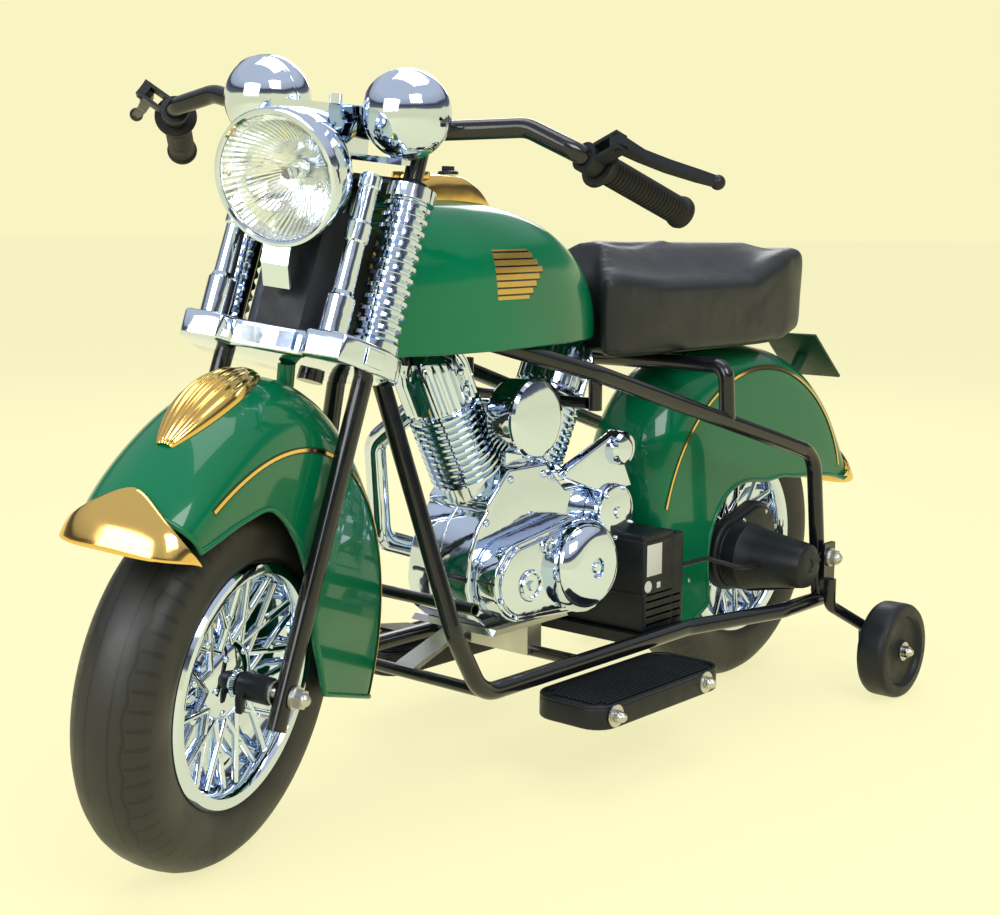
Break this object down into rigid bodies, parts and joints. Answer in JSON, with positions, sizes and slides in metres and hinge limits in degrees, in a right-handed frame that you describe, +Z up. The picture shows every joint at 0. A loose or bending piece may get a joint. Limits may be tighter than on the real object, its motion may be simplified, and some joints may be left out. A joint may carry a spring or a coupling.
{
  "type": "ride-on motorcycle",
  "caption": "Child's battery ride-on cruiser motorcycle with training wheels, steering fork, mock vee engine, tank, long seat and geared rear-wheel drive.",
  "frame": {"origin": "point of the ground under the rear axle, on the middle plane", "axes": "+X forward, +Y to the rider's left, +Z up"},
  "size_m": [1.322, 0.6457, 0.7562],
  "materials": {
    "emerald_panel": "gloss",
    "gold_trim": "chromed",
    "bright_plastic": "chromed",
    "black_tube": "gloss",
    "black_plastic": "satin",
    "tyre_black": "satin",
    "seat_black": "satin",
    "lens_clear": "clear",
    "reflector_silver": "mirror",
    "grey_steel": "satin",
    "battery_black": "satin",
    "lead_black": "satin",
    "gear_nylon": "satin"
  },
  "bodies": {
    "frame": {"air_cleaner": "bright_plastic", "battery_case": "battery_black", "battery_tray": "grey_steel", "cam_cover": "bright_plastic", "clutch_cover": "bright_plastic", "crankcase": "bright_plastic", "cross_tubes": "black_tube", "drive_motor": "grey_steel", "engine_mount": "grey_steel", "exhaust_pipes": "bright_plastic", "front_cylinder": "bright_plastic", "fuel_tank": "emerald_panel", "gearbox_case": "black_plastic", "head_tube": "black_tube", "left_footboard": "black_plastic", "lower_rails": "black_tube", "motor_cover": "black_plastic", "motor_lead": "lead_black", "primary_cover": "bright_plastic", "rear_axle": "grey_steel", "rear_cylinder": "bright_plastic", "rear_fender": "emerald_panel", "rear_fender_trim": "gold_trim", "right_footboard": "black_plastic", "seat_base": "black_plastic", "seat_pad": "seat_black", "seat_posts": "black_tube", "stabiliser_arms": "black_tube", "tank_console": "gold_trim", "upper_rails": "black_tube"},
    "fork": {"handlebar": "black_tube", "fork_legs": "black_tube", "lower_yoke": "bright_plastic", "steering_stem": "black_tube", "spring_covers": "bright_plastic", "fork_rods": "bright_plastic", "column_cover": "black_plastic", "front_axle": "grey_steel", "headlamp_shell": "bright_plastic", "headlamp_reflector": "reflector_silver", "headlamp_lens": "lens_clear", "spot_lamps": "bright_plastic", "lamp_bracket": "bright_plastic", "grips": "black_plastic", "lever_perches": "black_plastic", "front_fender": "emerald_panel", "front_fender_trim": "gold_trim"},
    "front_wheel": {"front_tyre": "tyre_black", "front_rim": "bright_plastic"},
    "rear_wheel": {"rear_tyre": "tyre_black", "rear_rim": "bright_plastic", "output_gear": "gear_nylon"},
    "left_stabiliser_wheel": {"left_stabiliser_wheel": "black_plastic"},
    "right_stabiliser_wheel": {"right_stabiliser_wheel": "black_plastic"},
    "left_brake_lever": {"left_brake_lever": "black_plastic"},
    "right_brake_lever": {"right_brake_lever": "black_plastic"},
    "idler": {"idler_gear": "gear_nylon"},
    "motor_rotor": {"motor_pinion": "grey_steel"},
    "power_switch": {"power_switch": "black_plastic"},
    "accelerator_pedal": {"accelerator_pedal": "black_plastic"}
  },
  "joints": [
    {"name": "steering", "type": "hinge", "parent": "frame", "child": "fork", "pos_m": [0.82663, 0, 0.16622], "axis": [-0.342, 0, 0.9397], "range_deg": [-49.5, 10.5]},
    {"name": "front_wheel_spin", "type": "hinge", "parent": "fork", "child": "front_wheel", "pos_m": [0.86233, 0.01345, 0.17921], "axis": [-0.3137, 0.9426, -0.1142], "continuous": true},
    {"name": "rear_wheel_spin", "type": "hinge", "parent": "frame", "child": "rear_wheel", "pos_m": [0, 0, 0.18], "axis": [0, 1, 0], "continuous": true},
    {"name": "left_stabiliser_spin", "type": "hinge", "parent": "frame", "child": "left_stabiliser_wheel", "pos_m": [-0.057, 0.23, 0.0603], "axis": [0, 1, 0], "continuous": true},
    {"name": "right_stabiliser_spin", "type": "hinge", "parent": "frame", "child": "right_stabiliser_wheel", "pos_m": [-0.057, -0.23, 0.0603], "axis": [0, 1, 0], "continuous": true},
    {"name": "left_brake_squeeze", "type": "hinge", "parent": "fork", "child": "left_brake_lever", "pos_m": [0.56802, 0.25121, 0.67112], "axis": [0.3832, 0.3495, -0.855], "range_deg": [-10, 0], "stiffness_Nm_per_rad": 1.5, "springref_deg": 8.59},
    {"name": "right_brake_squeeze", "type": "hinge", "parent": "fork", "child": "right_brake_lever", "pos_m": [0.73131, -0.23948, 0.73055], "axis": [0.5757, -0.229, -0.785], "range_deg": [0, 10], "stiffness_Nm_per_rad": 1.5, "springref_deg": -8.59},
    {"name": "idler_spin", "type": "hinge", "parent": "frame", "child": "idler", "pos_m": [0.02894, 0.05, 0.19737], "axis": [0, 1, 0], "continuous": true},
    {"name": "motor_spin", "type": "hinge", "parent": "frame", "child": "motor_rotor", "pos_m": [0.05, 0.06, 0.176], "axis": [0, 1, 0], "continuous": true},
    {"name": "power_switch_turn", "type": "hinge", "parent": "frame", "child": "power_switch", "pos_m": [0.527, 0, 0.6464], "axis": [0, 0, 1], "range_deg": [0, 60]},
    {"name": "accelerator_press", "type": "hinge", "parent": "frame", "child": "accelerator_pedal", "pos_m": [0.412, -0.15, 0.111], "axis": [0, 1, 0], "range_deg": [0, 8], "stiffness_Nm_per_rad": 1.5, "springref_deg": -8.59}
  ],
  "couplings": [
    {"joint": "idler_spin", "follows": "rear_wheel_spin", "ratio": -2.8571},
    {"joint": "motor_spin", "follows": "rear_wheel_spin", "ratio": 8.5714}
  ]
}
